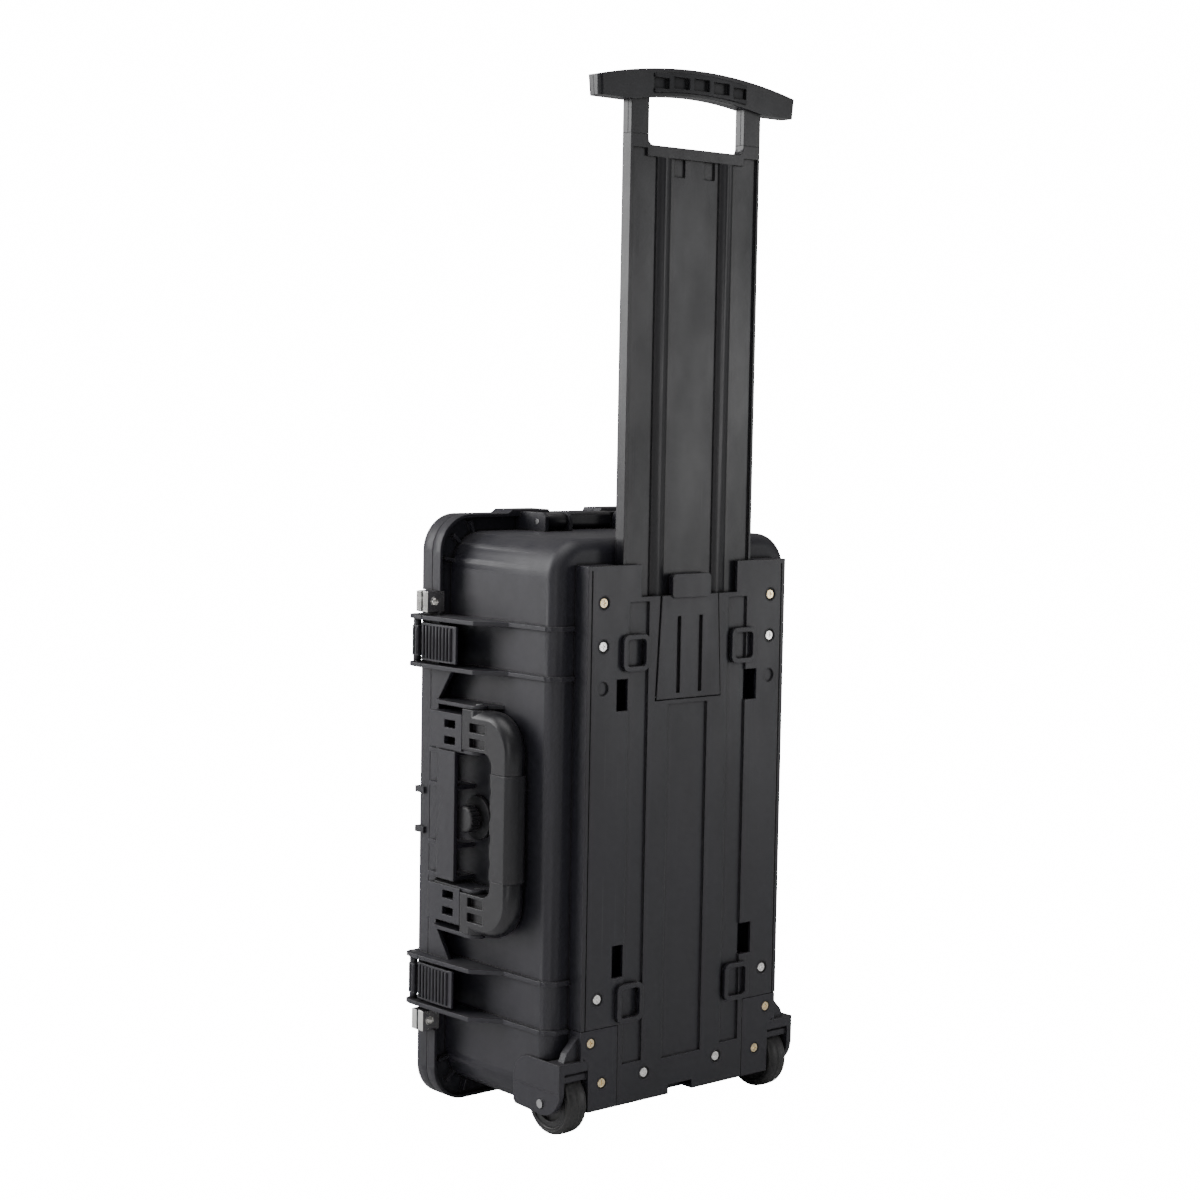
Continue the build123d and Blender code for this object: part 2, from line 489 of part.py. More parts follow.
def trolley_cover():
    """Fixed panel over the handle's slide, with two side channels, a centre recess and its openings."""
    face = COVER_FACE
    body = box(-COVER_HALF, COVER_HALF, face, face + SKIN, COVER_LOW, COVER_HIGH)
    body += box(-COVER_HALF, COVER_HALF, face, TUB_BACK - 0.4, COVER_LOW, COVER_LOW + SKIN)
    body += box(-RECESS_HALF - 2.5, RECESS_HALF + 2.5, face, face + TRAY_BACK, RECESS_LOW - 2.5, RECESS_HIGH + 2.5)
    for side in SIDES:
        body += box(side * (COVER_HALF - SKIN), side * COVER_HALF, face, TUB_BACK - 0.4, COVER_LOW, COVER_HIGH)
        body += box(side * 88, side * COVER_HALF, face, TUB_BACK - 0.4, COVER_HIGH - SKIN, COVER_HIGH)
        body += box(side * (CHANNEL_IN - 2), side * (CHANNEL_OUT + 2), face, face + TRAY_BACK,
                    CHANNEL_LOW - 2.5, CHANNEL_HIGH + 2.5)
    body -= box(-RECESS_HALF, RECESS_HALF, face - 1, face + CHANNEL_DEPTH, RECESS_LOW, RECESS_HIGH)
    opening = [(-PAD_FOOT - 1.4, PAD_LOW), (PAD_FOOT + 1.4, PAD_LOW), (PAD_HEAD + 1.6, PAD_HIGH + 1),
               (-PAD_HEAD - 1.6, PAD_HIGH + 1)]
    body -= prism_y(opening, face - 1, face + 20)
    body -= box(-60, 60, face - 1, face + 20, PAD_HIGH, COVER_HIGH + 1)
    body -= box(-15, 15, face - 1, TUB_BACK, COVER_LOW - 1, 31)
    for side in SIDES:
        body -= box(side * CHANNEL_IN, side * CHANNEL_OUT, face - 1, face + CHANNEL_DEPTH, CHANNEL_LOW, CHANNEL_HIGH)
        body -= box(side * 118.2, side * 119.4, face - 1, face + 1.4, COVER_LOW - 1, COVER_HIGH - 4)
        for z0, z1 in WINDOWS:
            body -= box(side * 73, side * 88, face - 1, face + 20, z0, z1)
        body -= box(side * 79, side * 130, face - 1, TUB_BACK, 0, 98.6)
        for x, z in BRASS_COVER + BRIGHT_COVER:
            body += cover_boss(side * x, z)
            body -= rod_y(face - 1, face + SKIN, side * x, z, BOSS_RADIUS - 1)
            body -= rod_y(face - 1, TUB_BACK + 1, side * x, z, SHANK_RADIUS + 0.1)
        body -= rod_y(face - 1, face + 2, side * 104.5, 409.3, 6.5)
    body -= rod_x(-46.2, 46.2, RELEASE_PIN_Y, RELEASE_PIN_Z, 1.0)
    return body


def bumper_ring(x, z0, z1):
    """Raised rounded rectangular loop that bridges a channel of the cover."""
    half = (83.5 - 51.8) / 2
    outer = Pos(0, (z0 + z1) / 2) * RectangleRounded(2 * half, z1 - z0, 7)
    inner = Pos(0, (z0 + z1) / 2) * RectangleRounded(2 * half - 9, z1 - z0 - 9, 3.5)
    ring = extrude(Plane.XZ.offset(-COVER_FACE + 4) * (outer - inner), amount=-4)
    ring = ring.moved(Location((x, 0, 0)))
    side = 1 if x > 0 else -1
    foot = box(side * 52, side * 56, COVER_FACE - 2, COVER_FACE + CHANNEL_DEPTH, z0 + 8, z1 - 8)
    return ring + foot


def release_lever():
    """Push plate with a thumb tab on top; two tongues behind it face the slide's lock pockets."""
    face = COVER_FACE
    outline = [(-PAD_FOOT, PAD_LOW + 1), (PAD_FOOT, PAD_LOW + 1), (PAD_HEAD, PAD_HIGH), (-PAD_HEAD, PAD_HIGH)]
    pad = prism_y(outline, face - 0.8, face + SKIN)
    for side in SIDES:
        pad -= box(side * 11.4, side * 15.8, face - 2, face + 2.2, 400, 471)
        pad += box(side * 16.5, side * 24, face + 2, face + 5.2, 465, 477)
    tab = Pos(0, 499) * RectangleRounded(48, 22, 4)
    pad += extrude(Plane.XZ.offset(-face + 2.6) * tab, amount=-5.6)
    return pad - rod_x(-50, 50, RELEASE_PIN_Y, RELEASE_PIN_Z, 1.05)


def trolley_sled():
    """Sliding handle panel: one ribbed sheet with rolled sides, crowned ridges and two uprights."""
    front, floor, edge = SLED_FRONT, SLED_FLOOR, SLED_EDGE
    body = box(-SLED_HALF, SLED_HALF, floor, floor + SKIN, SLED_LOW, SLED_HIGH)
    for side in SIDES:
        ridge = box(side * 30, side * 47, front, floor + 1, SLED_LOW, SLED_HIGH)
        body += ridge & rod_z(SLED_LOW, SLED_HIGH, side * 38.5, front + RIDGE_RADIUS, RIDGE_RADIUS)
        body += box(side * 77, side * SLED_HALF, front, edge, SLED_LOW, SLED_HIGH)
        body += box(side * ARM_IN, side * ARM_OUT, front, edge, SLED_HIGH - 3, ARM_LOW)
        body += box(side * 62, side * 77, front + 2.5, edge - 2, ARM_LOW - 1, 940)
        corner = box(side * (ARM_IN - 6), side * ARM_IN, front, edge, SLED_HIGH - 1, SLED_HIGH + 6)
        body += corner - rod_y(front - 1, edge + 1, side * (ARM_IN - 6), SLED_HIGH + 6, 6)
    body += box(-60, 60, front, floor + SKIN, SLED_HIGH - 10, SLED_HIGH)
    for side in SIDES:
        for z in (463.0, 870.0):
            body -= box(side * 12, side * 25, front - 1, floor + 1.8, z, z + 16)
        body -= box(side * 36.7, side * 54.7, front - 1, edge, SLED_LOW - 1, SLED_LOW + 24)
        body -= rod_y(front, edge, side * 69.5, 925, 1.6)
    return body


def guide_rail(side):
    """Low-friction strip between tub and cover that the slide's edge runs against."""
    rail = box(side * 80.6, side * 86, COVER_FACE + SKIN + 0.2, TUB_BACK, 104, 514)
    for z0, z1 in WINDOWS:
        rail -= box(side * 80, side * 87, COVER_FACE, TUB_BACK - 2, z0 - 1, z1 + 1)
    return rail


# ---- trolley grip ----
def grip_outline():
    """Front view of the grip bar: arched top, shallow arched underside, blunt ends."""
    top = ThreePointArc((-GRIP_HALF, GRIP_END_HIGH), (0, GRIP_TOP), (GRIP_HALF, GRIP_END_HIGH))
    right = Line((GRIP_HALF, GRIP_END_HIGH), (GRIP_HALF - 2, GRIP_END_LOW))
    under_right = Line((GRIP_HALF - 2, GRIP_END_LOW), (ARM_OUT, GRIP_END_LOW))
    under = ThreePointArc((ARM_OUT, GRIP_END_LOW), (0, GRIP_UNDER), (-ARM_OUT, GRIP_END_LOW))
    under_left = Line((-ARM_OUT, GRIP_END_LOW), (-GRIP_HALF + 2, GRIP_END_LOW))
    left = Line((-GRIP_HALF + 2, GRIP_END_LOW), (-GRIP_HALF, GRIP_END_HIGH))
    return make_face([top, right, under_right, under, under_left, left])


def grip_shell(y0, y1):
    """One half of the grip, with rounded ends and sockets for the slide's uprights."""
    body = extrude(Plane.XZ.offset(-y0) * grip_outline(), amount=-(y1 - y0))
    face = y0 if y0 < COVER_FACE else y1
    ends = body.edges().filter_by(lambda edge: abs(edge.center().X) > GRIP_HALF - 1.5)
    body = fillet(ends.filter_by_position(Axis.Y, face - 0.01, face + 0.01), 4)
    for side in SIDES:
        body += box(side * ARM_IN, side * ARM_OUT, max(y0, SLED_FRONT), min(y1, SLED_EDGE), ARM_LOW, 938)
        body -= box(side * 61.9, side * 77.1, SLED_FRONT + 2.4, SLED_EDGE - 1.9, ARM_LOW - 1, 940.1)
        body -= rod_y(COVER_FACE + 5, COVER_FACE + 20, side * 69.5, 925, 1.6)
    return body


def grip_parts():
    """Front and rear grip shells, ribbed insert and screws."""
    split = COVER_FACE + 8
    front_y = COVER_FACE - 0.5
    rear_y = COVER_FACE + 16.5
    bow = ThreePointArc((-57, 958.5), (0, 962.6), (57, 958.5))
    dip = ThreePointArc((57, 941.5), (0, 945), (-57, 941.5))
    ends = [Line((57, 958.5), (57, 941.5)), Line((-57, 941.5), (-57, 958.5))]
    inlay = make_face([bow, ends[0], dip, ends[1]])
    recess = extrude(Plane.XZ.offset(-front_y + 1.5) * inlay, amount=-6)
    insert = recess
    for step in range(5):
        x = 24.7 * (step - 2)
        rise = 4.0 * (1 - (x / 57) ** 2)
        insert -= box(x - 9.5, x + 9.5, front_y - 3, front_y + 2.5, 945.0 + rise * 0.8, 954.5 + rise)
    front = grip_shell(front_y, split - 0.05) - recess
    rear = grip_shell(split + 0.05, rear_y)
    screws = []
    for side in SIDES:
        rear -= rod_y(SLED_EDGE - 1.5, rear_y + 1, side * 69.5, 925, 3.2)
        shank = rod_y(SLED_FRONT + 2.5, SLED_EDGE - 1.5, side * 69.5, 925, 1.55)
        screws.append(shank + rod_y(SLED_EDGE - 1.5, SLED_EDGE, side * 69.5, 925, 3))
    keep("grip_front_shell", front)
    keep("grip_rear_shell", rear)
    keep("grip_insert", insert)
    keep("grip_screws", screws)


# ---- wheels ----
def wheel_bracket(side):
    """Wheel housing: outer hood plate, roof, inner cheek and the screwed plate beside the cover."""
    centre_y, centre_z = WHEEL_Y, WHEEL_RADIUS
    back, front, top = COVER_FACE + 0.3, -44.0, 71.5
    top_edge = Line((back, top), (front - 24, top))
    front_curve = JernArc(start=(front - 24, top), tangent=(1, 0), radius=24, arc_size=-90)
    front_edge = Line((front, top - 24), (front, 26))
    low_edge = Polyline((front, 26), (front - 3, 23), (back + 26, 21))
    back_curve = ThreePointArc((back + 26, 21), (back + 7, 29), (back, 47))
    back_edge = Line((back, 47), (back, top))
    hood = make_face([top_edge, front_curve, front_edge, low_edge, back_curve, back_edge])
    outer = extrude(Plane.YZ.offset(HOOD_SKIN) * hood, amount=HOOD_OUT - HOOD_SKIN, dir=(1, 0, 0))
    outer -= box(HOOD_OUT - 0.6, HOOD_OUT + 1, back - 1, front + 1, 10, 44.5)
    core = extrude(Plane.YZ.offset(HOOD_IN) * hood, amount=HOOD_SKIN - HOOD_IN + 0.1, dir=(1, 0, 0))
    outer += core & rod_x(100, 160, centre_y, centre_z, WELL_RADIUS - 0.4)
    outer += core & box(100, 160, back, TUB_BACK - 0.3, 0, 100)
    cheek_shape = Pos(-78, 52) * Rectangle(62, 28) + Pos(-92.5, 40) * Rectangle(33, 35)
    cheek = extrude(Plane.YZ.offset(110.5) * cheek_shape, amount=3.5)
    cheek &= rod_x(100, 120, centre_y, centre_z, WELL_RADIUS - 0.4) + box(105, 120, -110.5, -90, 22.4, 68)
    roof = rod_x(110.5, HOOD_IN + 0.1, centre_y, centre_z, WELL_RADIUS - 0.4)
    roof -= rod_x(100, HOOD_IN + 1, centre_y, centre_z, WHEEL_RADIUS + 2.2)
    roof &= box(100, 150, -108, WHEEL_Y + 40, 44, 80)
    lip = box(112, HOOD_SKIN + 0.1, back, TUB_BACK - 0.5, top - 3.5, top)
    lip += box(112, HOOD_SKIN + 0.1, back, back + SKIN, 62, top)
    lip -= rod_x(100, HOOD_IN + 1, centre_y, centre_z, WHEEL_RADIUS + 6)
    gusset = prism_y([(122, top - 1), (140, top - 1), (136, top + 8), (122, 94)], -106, -98)
    wall = box(120, 123, COVER_FACE, TUB_BACK - 1, top - 1, 98)
    plate = prism_y([(79.6, COVER_LOW), (114, COVER_LOW), (114, 68), (123, 76), (123, 98), (79.6, 98)],
                    COVER_FACE, COVER_FACE + SKIN)
    body = outer + cheek + roof + lip + plate + gusset + wall
    for x, z in BRASS_BRACKET:
        body += rod_y(COVER_FACE + 1, TUB_BACK, x, z, BOSS_RADIUS - 1)
        body -= rod_y(COVER_FACE - 1, COVER_FACE + SKIN, x, z, BOSS_RADIUS - 1.8)
        body -= rod_y(COVER_FACE - 1, TUB_BACK + 1, x, z, SHANK_RADIUS + 0.1)
    body -= rod_x(100, 160, centre_y, centre_z, AXLE_RADIUS)
    return body if side > 0 else mirror(body, Plane.YZ)


def wheels():
    """Housing, hub, tyre, axle and spacers on each side."""
    for side in SIDES:
        name = SIDE_NAMES[side]
        near, far = side * (WHEEL_X - TYRE_HALF), side * (WHEEL_X + TYRE_HALF)
        hub = rod_x(near + side, far - side, WHEEL_Y, WHEEL_RADIUS, HUB_RADIUS)
        hub -= rod_x(far - side * 5, far, WHEEL_Y, WHEEL_RADIUS, 18) - rod_x(near, far, WHEEL_Y, WHEEL_RADIUS, 8)
        tyre = rod_x(near, far, WHEEL_Y, WHEEL_RADIUS, WHEEL_RADIUS)
        tyre = fillet(tyre.edges().filter_by(GeomType.CIRCLE), 5)
        tyre -= rod_x(near - side, far + side, WHEEL_Y, WHEEL_RADIUS, HUB_RADIUS)
        keep(f"wheel_bracket_{name}", wheel_bracket(side))
        keep(f"wheel_hub_{name}", hub - rod_x(near, far, WHEEL_Y, WHEEL_RADIUS, AXLE_RADIUS + 0.05))
        keep(f"tyre_{name}", tyre)
        keep(f"axle_{name}", rod_x(side * 110.5, side * (HOOD_OUT + 0.8), WHEEL_Y, WHEEL_RADIUS, AXLE_RADIUS))
        spacers = [rod_x(side * 114.2, side * 116.9, WHEEL_Y, WHEEL_RADIUS, 8),
                   rod_x(side * 138.1, side * HOOD_IN, WHEEL_Y, WHEEL_RADIUS, 8)]
        bore = rod_x(side * 100, side * 160, WHEEL_Y, WHEEL_RADIUS, AXLE_RADIUS)
        keep(f"wheel_spacers_{name}", [spacer - bore for spacer in spacers])


# ---- fasteners ----
def trolley_screw(x, z):
    """Pan-head screw with a cross recess."""
    head = rod_y(COVER_FACE + 0.4, COVER_FACE + 0.4 + HEAD_THICK, x, z, HEAD_RADIUS)
    head = fillet(head.edges().sort_by(Axis.Y)[0], 1.2)
    head -= box(x - 2.6, x + 2.6, COVER_FACE, COVER_FACE + 1.6, z - 0.5, z + 0.5)
    head -= box(x - 0.5, x + 0.5, COVER_FACE, COVER_FACE + 1.6, z - 2.6, z + 2.6)
    return head + rod_y(COVER_FACE + 2, -81, x, z, SHANK_RADIUS)


def screws(places):
    """One group of equal screws, on both sides."""
    return [trolley_screw(side * x, z) for side in SIDES for x, z in places]


def threaded_inserts():
    """Brass inserts in the tub's bosses."""
    inserts = []
    for side in SIDES:
        for x, z in BRASS_COVER + BRIGHT_COVER + BRASS_BRACKET:
            sleeve = rod_y(TUB_BACK, -80, side * x, z, SHANK_RADIUS + 1.5)
            inserts.append(sleeve - rod_y(TUB_BACK - 1, -79, side * x, z, SHANK_RADIUS + 0.05))
    return inserts


# ---- the whole assembly ----
keep("base_shell", base_shell())
keep("lid_shell", lid_shell())
keep("lid_gasket", lid_gasket())
keep("hinge_pins", hinge_pins())
latches()
keep("base_padlock_plates", padlock_plates(BASE_SKIRT_END + 4, 1))
keep("lid_padlock_plates", padlock_plates(LID_RIM + 7, -1))
keep("base_padlock_eyelets", padlock_eyelets(BASE_SKIRT_END + 2.4, BASE_RIM))
keep("lid_padlock_eyelets", padlock_eyelets(LID_RIM, LID_RIM + 8.6))
valve()
side_handle()
top_handle()
keep("trolley_cover", trolley_cover())
for x_name, x_sign in (("left", -1), ("right", 1)):
    keep(f"guide_rail_{x_name}", guide_rail(x_sign))
    for z_name, z0, z1 in (("upper", 423.5, 457.0), ("lower", 100.0, 136.0)):
        keep(f"bumper_ring_{z_name}_{x_name}", bumper_ring(x_sign * 67.65, z0, z1))
keep("release_lever", release_lever())
keep("release_pin", rod_x(-46, 46, RELEASE_PIN_Y, RELEASE_PIN_Z, 1.0))
keep("release_spring", box(-8, 8, COVER_FACE + 3.1, COVER_FACE + 3.7, 397.5, 436))
keep("trolley_sled", trolley_sled())
grip_parts()
wheels()
keep("cover_screws_bright", screws(BRIGHT_COVER))
keep("cover_screws_brass", screws(BRASS_COVER))
keep("bracket_screws", screws(BRASS_BRACKET))
keep("threaded_inserts", threaded_inserts())

os.makedirs("parts", exist_ok=True)
for node, shape in PARTS.items():
    whole = Compound(children=list(shape)) if isinstance(shape, list) else shape
    export_step(whole, f"parts/{node}.step")
print(len(PARTS), "nodes")
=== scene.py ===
from math import cos, pi, radians, sin

import bmesh
import bpy
from mathutils import Matrix, Vector


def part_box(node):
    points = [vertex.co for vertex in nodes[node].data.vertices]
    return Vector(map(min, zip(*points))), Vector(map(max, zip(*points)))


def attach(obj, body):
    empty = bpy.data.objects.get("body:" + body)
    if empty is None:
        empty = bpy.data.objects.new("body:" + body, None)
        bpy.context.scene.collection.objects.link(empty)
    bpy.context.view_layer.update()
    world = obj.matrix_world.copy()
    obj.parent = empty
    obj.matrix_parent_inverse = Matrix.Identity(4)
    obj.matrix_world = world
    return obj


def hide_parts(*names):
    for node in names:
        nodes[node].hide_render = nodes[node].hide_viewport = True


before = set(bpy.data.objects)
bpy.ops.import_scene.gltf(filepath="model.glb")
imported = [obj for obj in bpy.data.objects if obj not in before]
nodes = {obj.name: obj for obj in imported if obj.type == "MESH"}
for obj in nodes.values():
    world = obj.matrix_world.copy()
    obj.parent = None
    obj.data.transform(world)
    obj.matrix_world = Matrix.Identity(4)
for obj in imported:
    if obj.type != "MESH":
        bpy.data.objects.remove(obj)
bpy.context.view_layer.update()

MM = 0.001


# ---- the view ----
# A long lens at standing height, off the case's back corner, so that the trolley face and the
# latch side both show.
camera = bpy.data.objects.new("camera", bpy.data.cameras.new("camera"))
bpy.context.scene.collection.objects.link(camera)
camera.data.lens = 70.33
camera.data.sensor_width = 36
camera.data.clip_start = 0.01
camera_right = Vector((0.75704, -0.65308, 0.01774))
camera_up = Vector((0.0406, 0.07413, 0.99638))
camera_turn = Matrix((camera_right, camera_up, camera_right.cross(camera_up))).transposed().to_4x4()
camera.matrix_world = Matrix.Translation((-1.47407, -1.6871, 0.66265)) @ camera_turn
bpy.context.scene.camera = camera


# ---- case halves ----
# Deep base and shallow lid, injection moulded in black glass-filled polypropylene. The mould is
# spark eroded to a fine pebble, its edges carry small radii, and handling rubs those edges pale.
def feed(tree, socket, value):
    """Link a node's output into a socket, or set a plain value on it."""
    if isinstance(value, bpy.types.NodeSocket):
        tree.links.new(value, socket)
    else:
        socket.default_value = value


def put(tree, kind, settings=(), **inputs):
    """Add one shader node, with its settings and its inputs by name."""
    node = tree.nodes.new("ShaderNode" + kind)
    for key, value in dict(settings).items():
        setattr(node, key, value)
    for label, value in inputs.items():
        feed(tree, node.inputs[label.replace("_", " ")], value)
    return node


def calc(tree, operation, *values):
    """One arithmetic step on values."""
    node = put(tree, "Math", {"operation": operation})
    for socket, value in zip(node.inputs, values):
        feed(tree, socket, value)
    return node.outputs[0]


def spread(tree, value, low, high, new_low=0.0, new_high=1.0):
    """Stretch the range low..high of a value over a new range."""
    node = put(tree, "MapRange", Value=value, From_Min=low, From_Max=high, To_Min=new_low, To_Max=new_high)
    return node.outputs["Result"]


def tint(tree, mask, under, over):
    """Lay one colour over another by a mask."""
    node = put(tree, "Mix", {"data_type": "RGBA"})
    for index, value in ((0, mask), (6, under), (7, over)):
        feed(tree, node.inputs[index], value)
    return node.outputs[2]


def place_on_part(tree, stretch=(1, 1, 1), turn=(0, 0, 0)):
    """The part's own coordinates in metres, stretched and turned for a pattern."""
    place = put(tree, "Mapping", Vector=put(tree, "TexCoord").outputs["Object"], Scale=stretch, Rotation=turn)
    return place.outputs[0]


def start_group(name, inputs, outputs):
    """New effect group: named value inputs with their usual values, and named outputs with their types."""
    group = bpy.data.node_groups.new(name, "ShaderNodeTree")
    for label, value in inputs.items():
        group.interface.new_socket(label, in_out="INPUT", socket_type="NodeSocketFloat").default_value = value
    for label, kind in outputs.items():
        group.interface.new_socket(label, in_out="OUTPUT", socket_type="NodeSocket" + kind)
    return group, group.nodes.new("NodeGroupInput").outputs, group.nodes.new("NodeGroupOutput").inputs


def use(tree, group, **inputs):
    """Place an effect group in a material with its own values."""
    node = tree.nodes.new("ShaderNodeGroup")
    node.node_tree = group
    for label, value in inputs.items():
        feed(tree, node.inputs[label.replace("_", " ")], value)
    return node.outputs


pebble, given, result = start_group("pebble grain", {"Cell Size": 0.0009},
                                    {"Height": "Float", "Shine": "Float"})
on_part = place_on_part(pebble)
density = calc(pebble, "DIVIDE", 1.0, given["Cell Size"])
cells = put(pebble, "TexVoronoi", {"feature": "SMOOTH_F1"}, Vector=on_part, Scale=density)
fine_density = calc(pebble, "MULTIPLY", density, 1.7)
fines = put(pebble, "TexNoise", Vector=on_part, Scale=fine_density, Detail=3.0)
fine_rise = calc(pebble, "MULTIPLY", fines.outputs[0], 0.5)
feed(pebble, result["Height"], calc(pebble, "MULTIPLY_ADD", cells.outputs["Distance"], 0.7, fine_rise))
tall = place_on_part(pebble, (1, 1, 0.45))
clouds = put(pebble, "TexNoise", Vector=tall, Scale=16.0, Detail=6.0, Roughness=0.6)
feed(pebble, result["Shine"], spread(pebble, clouds.outputs[0], 0.3, 0.7))

rubbed, given, result = start_group("rubbed edges", {"Width": 0.0012, "Break": 90.0},
                                    {"Mask": "Float", "Normal": "Vector"})
rounded = put(rubbed, "Bevel", {"samples": 4}, Radius=given["Width"])
facing = put(rubbed, "VectorMath", {"operation": "DOT_PRODUCT"})
feed(rubbed, facing.inputs[0], rounded.outputs[0])
feed(rubbed, facing.inputs[1], put(rubbed, "NewGeometry").outputs["Normal"])
corner = spread(rubbed, facing.outputs["Value"], 0.995, 0.86)
patches = put(rubbed, "TexNoise", Vector=place_on_part(rubbed), Detail=5.0, Roughness=0.65)
feed(rubbed, patches.inputs["Scale"], given["Break"])
broken = spread(rubbed, patches.outputs[0], 0.38, 0.68)
feed(rubbed, result["Mask"], calc(rubbed, "MULTIPLY", corner, broken))
feed(rubbed, result["Normal"], rounded.outputs[0])

dust, given, result = start_group("settled dust", {"Amount": 0.3}, {"Mask": "Float"})
up = put(dust, "SeparateXYZ", Vector=put(dust, "NewGeometry").outputs["Normal"]).outputs["Z"]
motes = put(dust, "TexNoise", Vector=place_on_part(dust), Scale=1400.0, Detail=2.0)
drifts = put(dust, "TexNoise", Vector=place_on_part(dust), Scale=22.0, Detail=5.0, Roughness=0.7)
lying = calc(dust, "MULTIPLY", spread(dust, up, 0.2, 1.0), spread(dust, drifts.outputs[0], 0.35, 0.7))
specks = calc(dust, "MULTIPLY", spread(dust, motes.outputs[0], 0.66, 0.74), 0.35)
feed(dust, result["Mask"], calc(dust, "MULTIPLY", calc(dust, "ADD", lying, specks), given["Amount"]))

scuffs, given, result = start_group("scuffs", {"Length": 0.03}, {"Mask": "Float"})
marks = []
for across, angle in ((1100.0, 0.5), (1500.0, -0.9)):
    lane = place_on_part(scuffs, (across, across, 1.0), (angle, angle * 0.7, angle))
    line = put(scuffs, "TexNoise", Vector=lane, Scale=1.0, Detail=2.0, Roughness=0.4)
    feed(scuffs, line.inputs["Distortion"], 0.4)
    marks.append(spread(scuffs, line.outputs[0], 0.67, 0.74))
worn_area = put(scuffs, "TexNoise", Vector=place_on_part(scuffs), Detail=3.0)
feed(scuffs, worn_area.inputs["Scale"], calc(scuffs, "DIVIDE", 0.5, given["Length"]))
worn = spread(scuffs, worn_area.outputs[0], 0.5, 0.68)
feed(scuffs, result["Mask"], calc(scuffs, "MULTIPLY", calc(scuffs, "MAXIMUM", *marks), worn))

# Painted shade: an ambient occlusion mask that darkens the colour in crevices and recesses.
painted_crevice_shade, given, result = start_group("painted_crevice_shade", {"Reach": 0.006}, {"Mask": "Float"})
nearby = put(painted_crevice_shade, "AmbientOcclusion", {"samples": 8}, Distance=given["Reach"])
feed(painted_crevice_shade, result["Mask"], spread(painted_crevice_shade, nearby.outputs["AO"], 0.78, 0.3))


def start_finish(name):
    """New material: its tree and its surface shader."""
    material = bpy.data.materials.new(name)
    material.use_nodes = True
    return material, material.node_tree, material.node_tree.nodes["Principled BSDF"].inputs


def moulded_plastic(name, colour, deep, pale, smooth, coarse, cell, depth,
                    edge=0.0012, scuffing=0.35, dusting=0.25):
    """Moulded plastic: pebble grain, cloudy gloss, pale rubbed edges, painted crevice shade, scuffs and dust.
    """
    material, tree, surface = start_finish(name)
    grain = use(tree, pebble, Cell_Size=cell)
    wear = use(tree, rubbed, Width=edge)
    lines = use(tree, scuffs)["Mask"]
    film = use(tree, dust, Amount=dusting)["Mask"]
    painted_shade = use(tree, painted_crevice_shade)["Mask"]
    base = tint(tree, grain["Shine"], (*deep, 1), (*colour, 1))
    base = tint(tree, calc(tree, "MULTIPLY", wear["Mask"], 0.7), base, (*pale, 1))
    base = tint(tree, calc(tree, "MULTIPLY", lines, scuffing), base, (*pale, 1))
    base = tint(tree, film, base, (0.11, 0.105, 0.1, 1))
    # Painted shade: the colour goes nearly black where the ambient occlusion finds crevices.
    base = tint(tree, calc(tree, "MULTIPLY", painted_shade, 0.9), base, (0.001, 0.001, 0.001, 1))
    feed(tree, surface["Base Color"], base)
    gloss = spread(tree, grain["Shine"], 0, 1, coarse, smooth)
    gloss = calc(tree, "MULTIPLY_ADD", wear["Mask"], -0.08, gloss)
    gloss = calc(tree, "MULTIPLY_ADD", lines, scuffing * 0.4, gloss)
    gloss = calc(tree, "MULTIPLY_ADD", painted_shade, 0.35, gloss)
    feed(tree, surface["Roughness"], calc(tree, "MULTIPLY_ADD", film, 0.5, gloss))
    relief = put(tree, "Bump", Strength=1.0, Distance=depth, Height=grain["Height"], Normal=wear["Normal"])
    feed(tree, surface["Normal"], relief.outputs[0])
    return material


def dress(material, *names):
    """Give the named parts one finish."""
    for name in names:
        part = nodes[name]
        part.data.materials.clear()
        part.data.materials.append(material)


def break_edges(width, *names, sharp=32, steps=2):
    """Round the crisp edges of the named parts by a small moulded radius."""
    for name in names:
        part = nodes[name]
        joined = part.modifiers.new("joined", "WELD")
        joined.merge_threshold = 0.005 * MM
        flats = part.modifiers.new("flats", "DECIMATE")
        flats.decimate_type = "DISSOLVE"
        flats.angle_limit = radians(0.4)
        edge = part.modifiers.new("edge radius", "BEVEL")
        edge.width = width * MM
        edge.segments = steps
        edge.limit_method = "ANGLE"
        edge.angle_limit = radians(sharp)
        edge.harden_normals = True


case_black = moulded_plastic(
    "case black", colour=(0.0172, 0.0165, 0.0238), deep=(0.0124, 0.0119, 0.0172), pale=(0.06, 0.06, 0.066),
    smooth=0.42, coarse=0.52, cell=0.0009, depth=0.00004)
dress(case_black, "base_shell", "lid_shell")
break_edges(0.7, "base_shell", "lid_shell")


# ---- lid seal ----
# A square ring of closed-cell neoprene sponge, pushed into the lid's groove. Its skin is matt and
# finely pitted.
sponge, tree, surface = start_finish("neoprene sponge")
pits = put(tree, "TexVoronoi", Vector=place_on_part(tree), Scale=1300.0)
pit_depth = spread(tree, pits.outputs["Distance"], 0.0, 0.5)
feed(tree, surface["Base Color"], tint(tree, pit_depth, (0.012, 0.012, 0.012, 1), (0.035, 0.034, 0.033, 1)))
feed(tree, surface["Roughness"], spread(tree, pit_depth, 0, 1, 0.95, 0.8))
feed(tree, surface["Normal"], put(tree, "Bump", Distance=0.00012, Height=pit_depth).outputs[0])
dress(sponge, "lid_gasket")


